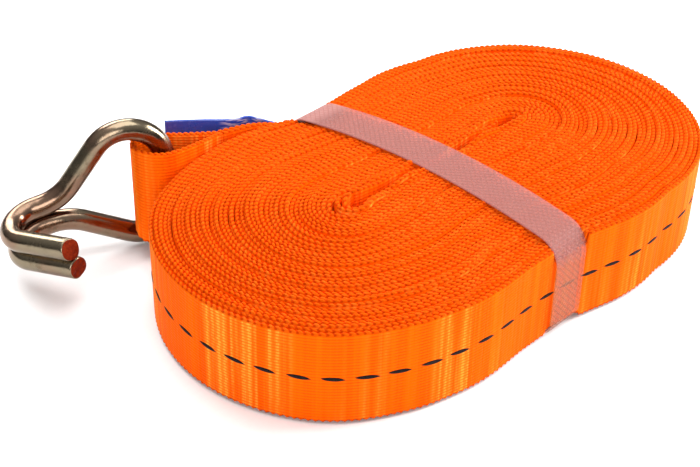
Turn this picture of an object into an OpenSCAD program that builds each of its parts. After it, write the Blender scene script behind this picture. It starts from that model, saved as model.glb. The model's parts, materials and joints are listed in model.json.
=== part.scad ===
// Loose end of a 25 mm ratchet tie down: a wound coil of webbing held by a
// plastic strap, its sewn end with an eye, a bent-wire claw hook and a label.
// Z is up, the floor is z = 0, the origin is under the middle of the coil,
// and the coil's long axis lies along X with the hook at the -X end.

/* [Webbing] */
// Width of the webbing, which is the height of the coil
web_w = 25; // [20:1:28]
// Thickness of one layer of webbing
web_t = 1.1; // [0.9:0.1:1.2]
// Length of the coil from end to end
coil_len = 155; // [150:1:165]
// Half width of the coil at its waist, on the hook's side
waist_back = 39.5; // [38:0.5:40.5]
// Half width of the coil at its waist, on the far side from the hook
waist_front = 42.5; // [41:0.5:43]

/* [Strap] */
// Width of the plastic strap round the waist
strap_w = 12; // [9:1:16]
// Thickness of the plastic strap
strap_t = 0.6; // [0.4:0.1:0.8]
// Corner radius of the strap where it turns over the coil's edges
strap_r = 4; // [3:0.5:6]
// Skew of the strap across the coil, in degrees
strap_skew = 2.4; // [0:0.2:4]

/* [Hook] */
// Diameter of the hook's wire
wire_d = 5.6; // [5:0.1:5.8]
// Distance of each leg's centre line from the middle of the cross-bar
bar_half = 15.5; // [15:0.1:16]
// Bend radius of the shoulders between the cross-bar and the legs
shoulder_r = 9.3; // [8:0.1:10]
// Angle at which each leg closes on the hook's middle line, in degrees
leg_angle = 39.6; // [36:0.2:42]
// Bend radius of the neck, where the legs turn parallel
neck_r = 13; // [11:0.5:14]
// Bend radius of the claw
claw_r = 7; // [6:0.5:8]
// Angle through which the claw turns, in degrees
claw_angle = 136; // [120:1:150]
// Straight length of the two tips
tip_len = 15; // [12:0.5:16]

/* [Sewn end] */
// Length over which the two layers are sewn together
seam_len = 19.5; // [18:0.5:20]
// Gap under the sewn end and the eye
end_lift = 0.5; // [0.3:0.1:1]
// Height of the label
label_h = 22; // [18:1:23]

/* [Hidden] */

orange = "darkorange";
step_deg = 5;

// ---- outline of the coil: end circles, shoulder circles and two waist rollers
end_r = 43.75;
end_x = coil_len / 2 - end_r;
left_c = [-29, 0];
left_r = 44.6;
right_c = [23, 0];
right_r = 45.3;

function polar(r, a) = [r * cos(a), r * sin(a)];
function bearing(a, b) = atan2(b[1] - a[1], b[0] - a[0]);

// A roller of radius r touches both shoulder circles from outside at the waist.
// Its x comes from the difference of the two tangency equations.
function roller_x(r) =
    ((left_r + r) ^ 2 - (right_r + r) ^ 2 - left_c[0] ^ 2 + right_c[0] ^ 2)
    / (2 * (right_c[0] - left_c[0]));
function roller_y(r) = sqrt((left_r + r) ^ 2 - (roller_x(r) - left_c[0]) ^ 2);
// Halving search for the roller whose near side sits at the waist.
function roller_r(waist, lo = 1, hi = 1000, n = 30) =
    n == 0 ? lo
    : roller_y((lo + hi) / 2) - (lo + hi) / 2 < waist
        ? roller_r(waist, (lo + hi) / 2, hi, n - 1)
        : roller_r(waist, lo, (lo + hi) / 2, n - 1);

back_r = roller_r(waist_back);
back_c = [roller_x(back_r), roller_y(back_r)];
front_r = roller_r(waist_front);
front_c = [roller_x(front_r), -roller_y(front_r)];

// Angle about an end circle's centre at which it meets its shoulder circle.
function meet_x(ex, sx, sr) = (sr ^ 2 - end_r ^ 2 + ex ^ 2 - sx ^ 2) / (2 * (ex - sx));
right_meet = meet_x(end_x, right_c[0], right_r);
left_meet = meet_x(-end_x, left_c[0], left_r);
right_end_a = acos((right_meet - end_x) / end_r);
left_end_a = acos((left_meet + end_x) / end_r);
right_sh_a = acos((right_meet - right_c[0]) / right_r);
left_sh_a = acos((left_meet - left_c[0]) / left_r);

// Arcs in order, anticlockwise: [centre, radius, start angle, end angle].
ARCS = [
    [[end_x, 0], end_r, -right_end_a, right_end_a],
    [right_c, right_r, right_sh_a, bearing(right_c, back_c)],
    [back_c, back_r, bearing(back_c, right_c), bearing(back_c, left_c)],
    [left_c, left_r, bearing(left_c, back_c), left_sh_a],
    [[-end_x, 0], end_r, left_end_a, 360 - left_end_a],
    [left_c, left_r, -left_sh_a, bearing(left_c, front_c)],
    [front_c, front_r, bearing(front_c, left_c), bearing(front_c, right_c)],
    [right_c, right_r, bearing(right_c, front_c), -right_sh_a]
];

function arc_points(arc) =
    let (n = max(2, ceil(abs(arc[3] - arc[2]) / step_deg)))
    [for (i = [0 : n - 1])
        arc[0] + polar(arc[1], arc[2] + (arc[3] - arc[2]) * i / n)];

OUTLINE = [for (arc = ARCS) each arc_points(arc)];

// ---- sewn end: a flat run of two layers that leaves the coil beside the strap
seam_start = [-12.6, 42.6];
seam_a = 165.7;
seam_dir = polar(1, seam_a);
seam_out = -polar(1, seam_a + 90);
layer_gap = 0.02;
tail_start = 1.5;
hem_len = 4;

// Point at distance s along the seam and d outward from the inner layer's middle.
function seam_point(s, d = 0) = seam_start + s * seam_dir + d * seam_out;

// ---- eye: middle of the webbing as [x, y, lower edge, upper edge, lean], from the
// inner layer's end round the fold and back to the outer layer's end. The webbing
// cups a little between the hook's round shoulders, so it stands lower there.
eye_gap = 0.4;
tail_d = web_t + layer_gap;
eye_in = seam_point(seam_len + eye_gap);
eye_out = seam_point(seam_len + eye_gap, tail_d);
seam_top = end_lift + web_w;
EYE = [
    [eye_in[0], eye_in[1], end_lift, seam_top, 0],
    [-36.5, 47.0, 1.6, 26.0, 0.2],
    [-41.0, 45.6, 3.6, 27.2, 0.6],
    [-45.5, 44.2, 5.6, 28.4, 1.0],
    [-50.0, 43.8, 6.6, 29.2, 2.0],
    [-54.2, 45.0, 6.8, 29.2, 3.0],
    [-57.2, 47.6, 6.8, 29.2, 3.4],
    [-58.0, 51.0, 6.8, 29.2, 3.4],
    [-56.2, 54.0, 6.8, 29.2, 3.0],
    [-52.4, 55.6, 6.8, 29.2, 2.0],
    [-48.0, 55.2, 6.0, 28.6, 1.2],
    [-43.5, 53.6, 4.2, 27.6, 0.8],
    [-39.5, 51.8, 2.6, 26.6, 0.4],
    [-35.5, 50.0, 1.2, 25.8, 0.2],
    [eye_out[0], eye_out[1], end_lift, seam_top, 0]
];

// ---- label: flap route from its hem outward
label_t = 0.3;
label_lift = 2.4;
label_d = tail_d + web_t / 2 + label_t / 2;
label_root = seam_point(tail_start + hem_len + 0.2, label_d);
label_top = label_lift + label_h;
LABEL = [
    [label_root[0], label_root[1], label_lift, label_top, 0],
    [-21.0, 48.6, label_lift, label_top, 0],
    [-25.5, 52.2, label_lift, label_top, 0],
    [-31.0, 57.0, label_lift, label_top, 0],
    [-38.4, 63.0, label_lift, label_top, 0]
];

// ---- stitches
thread_d = 0.5;
stitch_pitch = 3;
stitch_len = 2.4;
box_s = [7.5, seam_len - 1.8];
box_z = [3.5, web_w - 2.5];

// ---- plastic strap
strap_x = -3.4;
strap_back = waist_back + 0.6;
strap_front = waist_front + 0.1;
seat_clear = 0.3;

// ---- hub: the slit that the innermost fold leaves, with a round hole at each end
hub_y = 2.5;
hub_half = 27;
hub_hole_d = 4.4;
slit_w = 2;
free_len = 44;

// ---- tracer yarn
dash_pitch = 7.5;
dash_len = 5.4;
dash_h = 0.8;
dash_t = 0.4;

// ---- hook: pose of the cross-bar's middle, then its turn and its droop
hook_pos = [-47.85, 48.41, 20.75];
hook_turn = 154.4;
hook_droop = 14.6;
wire_r = wire_d / 2;
claw_run = 1.8;

// Catmull-Rom point between p1 and p2.
function blend4(p0, p1, p2, p3, t) =
    0.5 * (2 * p1 + (p2 - p0) * t + (2 * p0 - 5 * p1 + 4 * p2 - p3) * t ^ 2
        + (3 * p1 - p0 - 3 * p2 + p3) * t ^ 3);
function smooth_path(p, cuts) =
    let (last = len(p) - 1)
    [for (i = [0 : last - 1], k = [0 : cuts - 1])
        blend4(p[max(i - 1, 0)], p[i], p[i + 1], p[min(i + 2, last)], k / cuts),
        p[last]];

// A standing strip of thickness t along a path of [x, y, lower edge, upper edge,
// lean]; the end faces are square to the given bearings.
module strip(path, t, start_a, end_a) {
    last = len(path) - 1;
    rings = [for (i = [0 : last])
        let (
            p = path[i],
            a = i == 0 ? start_a : i == last ? end_a
                : bearing(path[i - 1], path[i + 1]),
            side = polar(t / 2, a + 90),
            lean = [0, p[4] / 2],
            mid = [p[0], p[1]]
        )
        each [
            [each mid + side - lean, p[2]],
            [each mid - side - lean, p[2]],
            [each mid - side + lean, p[3]],
            [each mid + side + lean, p[3]]
        ]];
    faces = [
        [0, 1, 2], [0, 2, 3],
        for (i = [0 : last - 1], k = [0 : 3])
            let (a = 4 * i + k, b = 4 * i + (k + 1) % 4)
            each [[a, a + 4, b + 4], [a, b + 4, b]],
        [4 * last, 4 * last + 2, 4 * last + 1],
        [4 * last, 4 * last + 3, 4 * last + 2]
    ];
    polyhedron(rings, faces);
}

// Moves children so that X runs along the seam, -Y points outward and z stays.
module on_seam(s, d) {
    translate([seam_point(s, d)[0], seam_point(s, d)[1], 0])
        rotate([0, 0, seam_a])
            children();
}

// A flat standing layer on the seam from s0 to s1, its middle at distance d.
module seam_layer(s0, s1, d, t, z0, h) {
    on_seam(s0, d)
        translate([0, -t / 2, z0])
            cube([s1 - s0, t, h]);
}

module strap_section(grow) {
    translate([-strap_front - grow, -grow])
        difference() {
            w = strap_front + strap_back + 2 * grow;
            h = web_w - strap_t + 2 * grow;
            r = strap_r + grow;
            translate([0, strap_t])
                square([w, h]);
            for (x = [0, 1], y = [0, 1])
                translate([x * w, strap_t + y * h])
                    mirror([x, 0])
                        mirror([0, y])
                            difference() {
                                translate([-1, -1])
                                    square(r + 1);
                                translate([r, r])
                                    circle(r, $fn = 64);
                            }
        }
}

// A block of the strap's section along X, set across the waist.
module strap_block(grow, width) {
    rotate([0, 0, strap_skew])
        translate([strap_x - width / 2, 0, 0])
            rotate([90, 0, 90])
                linear_extrude(width)
                    strap_section(grow);
}

module webbing_coil() {
    color(orange)
        difference() {
            linear_extrude(web_w)
                polygon(OUTLINE);
            // crushed edges under the strap
            difference() {
                rotate([0, 0, strap_skew])
                    translate([strap_x - strap_w / 2 - seat_clear, -60, -1])
                        cube([strap_w + 2 * seat_clear, 120, web_w + 2]);
                strap_block(0, strap_w + 4);
            }
            // hub slit, square at its right end where the free end starts
            translate([-hub_half, hub_y - slit_w / 2, -1])
                cube([2 * hub_half, slit_w, web_w + 2]);
            for (x = [-hub_half, hub_half - hub_hole_d / 2])
                translate([x, hub_y, -1])
                    cylinder(h = web_w + 2, d = hub_hole_d, $fn = 48);
        }
}

module webbing_free_end() {
    color(orange)
        translate([hub_half - free_len, hub_y - web_t / 2, strap_t + 0.1])
            cube([free_len - hub_hole_d, web_t, web_w - strap_t - 0.4]);
}

module tracer_yarn() {
    color("black")
        for (arc = ARCS) {
            n = round(arc[1] * abs(arc[3] - arc[2]) * PI / 180 / dash_pitch);
            for (i = [0 : n - 1]) {
                a = arc[2] + (arc[3] - arc[2]) * (i + 0.5) / n;
                p = arc[0] + polar(arc[1], a);
                in_strap = abs(p[0] - strap_x) < strap_w / 2 + dash_len;
                in_lead = p[1] > 0 && p[0] < strap_x && p[0] > -44;
                if (!in_strap && !in_lead)
                    translate([p[0], p[1], web_w / 2])
                        rotate([0, 0, a])
                            cube([dash_t, dash_len, dash_h], center = true);
            }
        }
}

module plastic_strap() {
    color("lightpink")
        difference() {
            strap_block(strap_t, strap_w);
            strap_block(0, strap_w + 1);
        }
}

module strap_welded_end() {
    color("lightpink")
        rotate([0, 0, strap_skew])
            translate([strap_x - strap_w / 2 + 0.2, strap_back + strap_t, strap_r + 1.5])
                cube([strap_w - 0.4, strap_t, web_w - 2 * strap_r - 3]);
}

module webbing_lead() {
    color(orange)
        seam_layer(0, seam_len, 0, web_t, end_lift, web_w);
}

module webbing_tail() {
    color(orange)
        seam_layer(tail_start, seam_len, tail_d, web_t, end_lift, web_w);
}

module webbing_eye() {
    color(orange)
        strip(smooth_path(EYE, 3), web_t, seam_a, seam_a + 180);
}

// A straight row of stitches on the outer face, from [s, z] to [s, z].
module stitch_row(from, to) {
    run = norm(to - from);
    n = floor(run / stitch_pitch);
    dir = (to - from) / run;
    d = tail_d + web_t / 2;
    for (i = [0 : n - 1]) {
        p = from + dir * (i + 0.5) * run / n;
        on_seam(p[0], d)
            translate([0, 0, p[1]])
                rotate([0, 90 - atan2(dir[1], dir[0]), 0])
                    cylinder(h = stitch_len, d = thread_d, center = true, $fn = 16);
    }
}

module seam_box_stitches() {
    color("orangered") {
        for (z = box_z)
            stitch_row([box_s[0], z], [box_s[1], z]);
        for (s = box_s)
            stitch_row([s, box_z[0] + 1], [s, box_z[1] - 1]);
    }
}

module seam_cross_stitches() {
    inset = 1.6;
    mid = [(box_s[0] + box_s[1]) / 2, (box_z[0] + box_z[1]) / 2];
    color("orangered")
        for (s = [box_s[0] + inset, box_s[1] - inset], z = [box_z[0] + inset, box_z[1] - inset])
            stitch_row(mid + ([s, z] - mid) * 0.16, [s, z]);
}

module label() {
    color("mediumblue")
        strip(smooth_path(LABEL, 3), label_t, seam_a, bearing(LABEL[3], LABEL[4]));
}

module label_hem() {
    color("mediumblue")
        seam_layer(tail_start, tail_start + hem_len, label_d + layer_gap, label_t,
            label_lift, label_h);
}

module label_stitches() {
    s = tail_start + hem_len / 2;
    d = label_d + label_t / 2;
    rows = floor((label_h - 2) / stitch_pitch);
    color("orangered")
        for (i = [0 : rows - 1])
            on_seam(s, d)
                translate([0, 0, label_lift + 1 + (i + 0.5) * (label_h - 2) / rows])
                    cylinder(h = stitch_len, d = thread_d, center = true, $fn = 16);
}

// ---- hook, drawn with its middle line along X, the cross-bar along Y and the
// claw turning towards -Z. Stations are [point, heading, side], both unit vectors.
shoulder_c = [shoulder_r, bar_half - shoulder_r];
leg_top = shoulder_c + polar(shoulder_r, 90 - leg_angle);
side_y = wire_r + 0.05;
neck_y = side_y + neck_r * (1 - cos(leg_angle));
leg_len = (leg_top[1] - neck_y) / sin(leg_angle);
leg_end = leg_top + leg_len * polar(1, -leg_angle);
neck_c = leg_end + polar(neck_r, 90 - leg_angle);
claw_x = neck_c[0] + claw_run;
wire_step = 10;
wire_sides = 16;

function flat_station(p, a) = [[p[0], p[1], 0], [cos(a), sin(a), 0], [0, 0, 1]];
function bend(c, r, from, turn, heading) =
    let (n = ceil(abs(turn) / wire_step))
    [for (i = [0 : n])
        flat_station(c + polar(r, from + turn * i / n), heading + turn * i / n)];
function claw_station(a, run = 0) = [
    [claw_x + claw_r * sin(a) + run * cos(a), side_y,
        -claw_r * (1 - cos(a)) - run * sin(a)],
    [cos(a), 0, -sin(a)],
    [sin(a), 0, cos(a)]
];

// From the middle of the cross-bar to one tip.
HALF_WIRE = [
    each bend(shoulder_c, shoulder_r, 180, -90 - leg_angle, 90),
    each bend(neck_c, neck_r, 270 - leg_angle, leg_angle, -leg_angle),
    each [for (a = [0 : wire_step : claw_angle - 1]) claw_station(a)],
    claw_station(claw_angle),
    claw_station(claw_angle, tip_len)
];
function other_side(s) = [
    [s[0][0], -s[0][1], s[0][2]], [-s[1][0], s[1][1], -s[1][2]], s[2]
];
WIRE = [
    for (i = [len(HALF_WIRE) - 1 : -1 : 0]) other_side(HALF_WIRE[i]),
    each HALF_WIRE
];

// A round tube through the stations, closed at both ends.
module tube(stations, d, sides) {
    last = len(stations) - 1;
    points = [for (s = stations, k = [0 : sides - 1])
        s[0] + d / 2 * (cos(360 * k / sides) * s[2]
            + sin(360 * k / sides) * cross(s[2], s[1]))];
    faces = [
        for (k = [1 : sides - 2]) [0, k, k + 1],
        for (i = [0 : last - 1], k = [0 : sides - 1])
            let (a = i * sides + k, b = i * sides + (k + 1) % sides)
            each [[a, a + sides, b + sides], [a, b + sides, b]],
        for (k = [1 : sides - 2]) [last * sides, last * sides + k + 1, last * sides + k]
    ];
    polyhedron(points, faces);
}

module claw_hook() {
    color("silver")
        translate(hook_pos)
            rotate([0, 0, hook_turn])
                rotate([0, hook_droop, 0])
                    rotate([90, 0, 0])
                        tube(WIRE, wire_d, wire_sides);
}

webbing_coil();
webbing_free_end();
tracer_yarn();
plastic_strap();
strap_welded_end();
webbing_lead();
webbing_tail();
webbing_eye();
seam_box_stitches();
seam_cross_stitches();
label();
label_hem();
label_stitches();
claw_hook();
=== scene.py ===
import json
import math

import bpy
import numpy as np
from mathutils import Matrix, Vector
from mathutils.bvhtree import BVHTree


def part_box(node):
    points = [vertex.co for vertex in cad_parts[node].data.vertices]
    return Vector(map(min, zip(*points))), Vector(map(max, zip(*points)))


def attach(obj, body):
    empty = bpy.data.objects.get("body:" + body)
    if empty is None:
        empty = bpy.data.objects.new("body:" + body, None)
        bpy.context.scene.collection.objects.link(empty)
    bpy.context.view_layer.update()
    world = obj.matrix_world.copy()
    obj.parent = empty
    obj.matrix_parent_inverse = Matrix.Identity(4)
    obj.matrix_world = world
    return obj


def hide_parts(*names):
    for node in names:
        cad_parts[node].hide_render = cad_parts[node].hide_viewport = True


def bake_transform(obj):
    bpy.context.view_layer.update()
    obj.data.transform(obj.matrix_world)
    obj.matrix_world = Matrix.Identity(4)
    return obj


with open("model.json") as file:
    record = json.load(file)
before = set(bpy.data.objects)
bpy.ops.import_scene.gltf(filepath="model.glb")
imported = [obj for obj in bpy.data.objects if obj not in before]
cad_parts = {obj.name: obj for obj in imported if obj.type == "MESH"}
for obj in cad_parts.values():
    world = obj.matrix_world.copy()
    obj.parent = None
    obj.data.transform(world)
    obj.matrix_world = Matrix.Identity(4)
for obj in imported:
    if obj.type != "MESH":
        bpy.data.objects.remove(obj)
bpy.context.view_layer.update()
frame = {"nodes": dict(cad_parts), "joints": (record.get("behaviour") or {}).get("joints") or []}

# Everything below is worked out in millimetres and made in metres.
MM = 0.001
rng = np.random.default_rng(25)
NODES = frame["nodes"]
JOINTS = {j["name"]: j for j in frame["joints"]}


def mm(v):
    return np.array([float(x) for x in v]) / MM


def cad_box_mm(node):
    lo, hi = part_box(node)
    return mm(lo), mm(hi)


def unit(v):
    v = np.asarray(v, float)
    return v / np.maximum(np.linalg.norm(v, axis=-1, keepdims=True), 1e-12)


def smoothstep(x):
    x = np.clip(x, 0, 1)
    return x * x * (3 - 2 * x)


# ---------------------------------------------------------------- sizes
COIL_LO, COIL_HI = cad_box_mm("webbing_coil")
WEB_W = COIL_HI[2] - COIL_LO[2]
WEB_T = 1.0
CAD_T = 1.1           # the webbing's thickness in the CAD
HALF_W = WEB_W / 2
KNOB = 1.60           # pitch of the selvedge knobs along the edge
RIBS = 29             # warp ribs across the width
RIB_EDGE = 0.955      # how far across the half width the ribs reach
KNOB_SLANT = 1.7      # how far a knob's two sides are out of step, in radians
STATION = KNOB / 4    # distance between a strip's sections
TURNS = 40
OUTERMOST = TURNS - 0.92    # the turn at which the outermost, ribbed stretch begins
CUTS = (14, 23, 30.2, 35.4, OUTERMOST)      # the turns at which the spiral is cut into pieces
DOME = 4.5            # how much higher the coil stands at its hub than at its wall
GLINT_AT = 0.7        # where in the noise the painted glint bands are read
HUB_LEFT = np.array([-28.2, -2.4])
HUB_RIGHT = np.array([22.6, 0.5])
HUB_HOLE = 0.5        # half the slit's width
CURL_LEFT = 3.8       # how much wider the holes are at the slit's two ends
CURL_RIGHT = 2.6
LEFT_END = 0.625      # the middles of the coil's two ends, as shares of the way round it
RIGHT_END = 0.125
EDGE_INSET = 0.30     # how far the layers' edges stay inside the coil's faces
STRAP_LO, STRAP_HI = cad_box_mm("plastic_strap")
STRAP_X = (STRAP_LO[0] + STRAP_HI[0]) / 2 - 0.5
STRAP_SKEW = math.radians(5.0)
STRAP_W = 11.7
STRAP_T = 0.55
STRAP_BEND = 5.4      # radius of its two upper corners
STRAP_FOOT = 3.2      # and of its two lower ones
STRAP_BACK = STRAP_HI[1] + 3.3
PRESSED = 0.66        # how far the strap presses the layers' edges in
BACK_BULGE = 2.6      # how much further back the waist stands than the CAD's
BACK_BULGE_X = (-2.0, 17.5)     # its middle and half its length
LEFT_BULGE = 1.2      # the same for the left lobe's wall
DASH_PITCH = 7.5      # the tracer's dashes
DASH_LEN = 5.5
BAR = mm(JOINTS["hook_swing"]["pos_m"])
BAR_AXIS = unit(JOINTS["hook_swing"]["axis"])


# ---------------------------------------------------------------- mesh helpers
def new_mesh(name, verts, faces, uv=None):
    """A mesh object from points in mm; uv is one (along, across) pair in mm a point."""
    me = bpy.data.meshes.new(name)
    me.from_pydata([tuple(v) for v in np.asarray(verts) * MM], [], faces)
    me.polygons.foreach_set("use_smooth", [True] * len(me.polygons))
    if uv is not None:
        layer = me.uv_layers.new(name="Weave")
        index = np.empty(len(me.loops), np.int32)
        me.loops.foreach_get("vertex_index", index)
        layer.data.foreach_set("uv", np.asarray(uv, np.float32)[index].ravel())
    me.update()
    obj = bpy.data.objects.new(name, me)
    bpy.context.scene.collection.objects.link(obj)
    return obj


def tube_faces(n, m, closed=False):
    """Quads of n rings of m points, with end caps unless the rings close on themselves."""
    i, k = np.meshgrid(np.arange(n if closed else n - 1), np.arange(m), indexing="ij")
    j, l = (i + 1) % n, (k + 1) % m
    quads = np.stack([i * m + k, i * m + l, j * m + l, j * m + k], -1).reshape(-1, 4)
    faces = quads.tolist()
    if not closed:
        faces.append(list(range(m - 1, -1, -1)))
        faces.append(list(range((n - 1) * m, n * m)))
    return faces


def outward(verts, faces):
    """The faces, turned round if they enclose a negative volume."""
    v = np.asarray(verts)
    volume = 0.0
    for size in set(len(f) for f in faces):
        f = np.array([g for g in faces if len(g) == size])
        for k in range(1, size - 1):
            a, b, c = v[f[:, 0]], v[f[:, k]], v[f[:, k + 1]]
            volume += np.einsum("ij,ij->i", a, np.cross(b, c)).sum()
    return faces if volume > 0 else [f[::-1] for f in faces]


def arc_length(points):
    return np.concatenate([[0], np.cumsum(np.linalg.norm(np.diff(points, axis=0), axis=1))])


def resample(s, step, *columns):
    """The columns at equal steps of s, with s itself first."""
    count = max(2, int(round((s[-1] - s[0]) / step)) + 1)
    at = np.linspace(s[0], s[-1], count)
    out = [at]
    for c in columns:
        c = np.asarray(c, float)
        if c.ndim == 1:
            out.append(np.interp(at, s, c))
        else:
            out.append(np.stack([np.interp(at, s, c[:, k]) for k in range(c.shape[1])], 1))
    return out


def spline(points, step=0.25):
    """A Catmull-Rom curve through rows of numbers, the first three a place."""
    p = np.asarray(points, float)
    p = np.vstack([2 * p[0] - p[1], p, 2 * p[-1] - p[-2]])
    rows = []
    for i in range(1, len(p) - 2):
        n = max(2, int(np.linalg.norm(p[i + 1, :3] - p[i, :3]) / step))
        t = np.arange(n)[:, None] / n
        a, b, c, d = p[i - 1], p[i], p[i + 1], p[i + 2]
        rows.append(0.5 * (2 * b + (c - a) * t + (2 * a - 5 * b + 4 * c - d) * t ** 2
                           + (3 * b - a - 3 * c + d) * t ** 3))
    rows.append(p[-2][None])
    return np.vstack(rows)


def waves(x, length, count=5):
    """Smooth seeded noise of about that wavelength, between -1 and 1, along x."""
    total = np.zeros_like(x, float)
    for _ in range(count):
        total += np.sin(2 * np.pi * x / (length * rng.uniform(0.6, 1.9)) + rng.uniform(0, 6.28))
    return total / count * 1.4


# ---------------------------------------------------------------- webbing strips
def profile(ribbed_faces):
    """Points round the webbing's section as (v, o, edge): v from -1 to 1 across the width,
    o in half thicknesses along the outer normal, and 1 where the selvedge knobs are.
    The outer face has ribs from 1 ribbed face up, and the inner face from 2."""
    v = np.linspace(-RIB_EDGE, RIB_EDGE, 2 * RIBS + 1)
    rib = np.where(np.arange(2 * RIBS + 1) % 2 == 1, 1.0, 0.84)
    ribbed = [(a, r, 0) for a, r in zip(v, rib)]
    plain = [(-0.9, 1, 0), (0.9, 1, 0)]
    outer = ribbed if ribbed_faces > 0 else plain
    top = [(0.962, 0.95, 0.6), (0.986, 0.70, 1), (1.0, 0.0, 1),
           (0.986, -0.70, 1), (0.962, -0.95, 0.6)]
    inner = [(-a, -r, e) for a, r, e in (ribbed if ribbed_faces > 1 else plain)]
    bottom = [(-a, -o, e) for a, o, e in top]
    return np.array(outer + top + inner + bottom)


def strip(name, s, centre, across, normal, half_w, thick, ribbed_faces=0):
    """One stretch of webbing. s is the distance along the whole webbing, so that the knobs
    and the weave carry on from one piece to the next."""
    prof = profile(ribbed_faces)
    v, o, edge = prof.T
    phase = 2 * np.pi * s / KNOB
    # each knob leans along the strip: its outer side comes a little after its inner side
    slant = KNOB_SLANT * (o * edge)[None]
    wave = 0.5 + 0.5 * np.cos(phase[:, None] - slant)
    width = half_w[:, None] * v[None] + np.sign(v)[None] * edge[None] * (0.37 * wave - 0.15)
    swell = np.where(edge[None] > 0, 0.63 + 0.50 * wave, 1.0)
    out = 0.5 * thick[:, None] * o[None] * swell
    verts = centre[:, None] + width[..., None] * across[:, None] + out[..., None] * normal[:, None]
    flat_v = (v * 0.5 + 0.5) * WEB_W
    uv = np.stack(np.broadcast_arrays(s[:, None] - slant * KNOB / (2 * np.pi), flat_v[None]), -1)
    verts = verts.reshape(-1, 3)
    faces = outward(verts, tube_faces(len(s), len(prof)))
    return new_mesh(name, verts, faces, uv.reshape(-1, 2))


# ---------------------------------------------------------------- the coil's rays
def coil_rays(count=1440):
    """Rays from the hub slit to the coil's outer wall, anticlockwise: for each one its foot,
    its direction and the distance to the wall."""
    bvh = BVHTree.FromObject(NODES["webbing_coil"], bpy.context.evaluated_depsgraph_get())
    # right end, back side, left end, front side, in proportion to the outer length
    q = np.linspace(0, 1, count, endpoint=False) * 4
    feet, dirs, walls = [], [], []
    for x in q:
        side, t = int(x), x - int(x)
        if side == 0:
            a = (t - 0.5) * math.pi
            foot, d = HUB_RIGHT, (math.cos(a), math.sin(a))
        elif side == 1:
            foot, d = HUB_RIGHT + (HUB_LEFT - HUB_RIGHT) * t, (0, 1)
        elif side == 2:
            a = (t + 0.5) * math.pi
            foot, d = HUB_LEFT, (math.cos(a), math.sin(a))
        else:
            foot, d = HUB_LEFT + (HUB_RIGHT - HUB_LEFT) * t, (0, -1)
        far = Vector(((foot[0] + 120 * d[0]) * MM, (foot[1] + 120 * d[1]) * MM, HALF_W * MM))
        hit = bvh.ray_cast(far, Vector((-d[0], -d[1], 0)))[0]
        wall = 120 - (far - hit).length / MM
        if side == 1:
            wall += BACK_BULGE * smoothstep(1 - abs(foot[0] - BACK_BULGE_X[0]) / BACK_BULGE_X[1])
        wall += LEFT_BULGE * smoothstep((-50 - foot[0] - d[0] * wall) / 18)
        walls.append(wall)
        feet.append(foot)
        dirs.append(d)
    return np.array(feet), np.array(dirs), np.array(walls)


def strap_cover(x, y, start, fall):
    """1 under the plastic strap, falling smoothly to 0 from start mm beyond its edge."""
    off = np.abs((x - STRAP_X) - y * math.tan(-STRAP_SKEW))
    return smoothstep(1 - (off - STRAP_W / 2 - start) / fall)


def layer_room(count):
    """The relative room that each layer takes on each ray, with and without the crescent gap
    under the outermost layers at the right-hand end."""
    layers = TURNS + 2
    around = np.arange(count) / count
    room = np.ones((layers, count))
    curl = smoothstep(1 - np.abs(around - LEFT_END) / 0.13)
    for k in range(layers):
        for h in (1, 2, 3, 5, 8):
            room[k] += rng.normal(0, 0.05) * np.sin(2 * np.pi * (h * around + rng.uniform()))
        if rng.uniform() < 0.4:
            at, wide = rng.uniform(), rng.uniform(0.05, 0.16)
            gap = np.abs((around - at + 0.5) % 1 - 0.5) / wide
            room[k] += 0.45 * smoothstep(1 - gap)
    room[1:4] += np.array([1.3, 0.9, 0.5])[:, None] * curl
    tight = room.copy()
    room[TURNS - 3] += 1.3 * smoothstep(1 - np.abs(around - 0.16) / 0.10)
    return room, tight


def wound_webbing():
    """The spiral, anticlockwise from inside the left hub to where it leaves the coil under
    the strap: turn number, place, thickness, depth below the coil's wall, and share of the
    way from the hub to the wall."""
    feet, dirs, walls = coil_rays()
    count = len(walls)
    room, tight = layer_room(count)
    edges = np.vstack([np.zeros(count), np.cumsum(room, axis=0)])
    leave = 0.25 + 0.25 * (HUB_RIGHT[0] - STRAP_X + 4) / (HUB_RIGHT[0] - HUB_LEFT[0])
    t = np.linspace(0.5, TURNS + leave, int((TURNS + leave - 0.5) * 700))
    turn = np.floor(t).astype(int)
    p = t - turn
    ray = p * count
    i = np.floor(ray).astype(int) % count
    j = (i + 1) % count
    w = ray - np.floor(ray)

    def edge_at(k):
        return edges[k, i] * (1 - w) + edges[k, j] * w

    foot = feet[i] * (1 - w[:, None]) + feet[j] * w[:, None]
    d = unit(dirs[i] * (1 - w[:, None]) + dirs[j] * w[:, None])
    wall = walls[i] * (1 - w) + walls[j] * w
    here = edge_at(turn) * (1 - p) + edge_at(turn + 1) * p
    nxt = edge_at(turn + 1) * (1 - p) + edge_at(turn + 2) * p
    # one layer fewer lies on the rays past the place where the strip leaves
    more = smoothstep((leave - p) / 0.05 + 0.5)
    outer = (edge_at(TURNS) * (1 - more) + edge_at(TURNS + 1) * more) * (1 - p)
    outer += (edge_at(TURNS + 1) * (1 - more) + edge_at(TURNS + 2) * more) * p
    # an open curl is left at each end of the slit
    start = (HUB_HOLE + CURL_RIGHT * smoothstep(1 - np.abs(p - RIGHT_END) / 0.11)
             + CURL_LEFT * smoothstep(1 - np.abs(p - LEFT_END) / 0.12))
    scale = (wall - start) / outer
    spare = room[turn, i] / tight[turn, i]
    pitch = scale * (nxt - here) / spare
    r = start + scale * nxt - 0.5 * pitch
    thick = np.minimum(1.18 * WEB_T, 0.95 * pitch)
    return t, foot + d * r[:, None], thick, wall - r, r / wall


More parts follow.
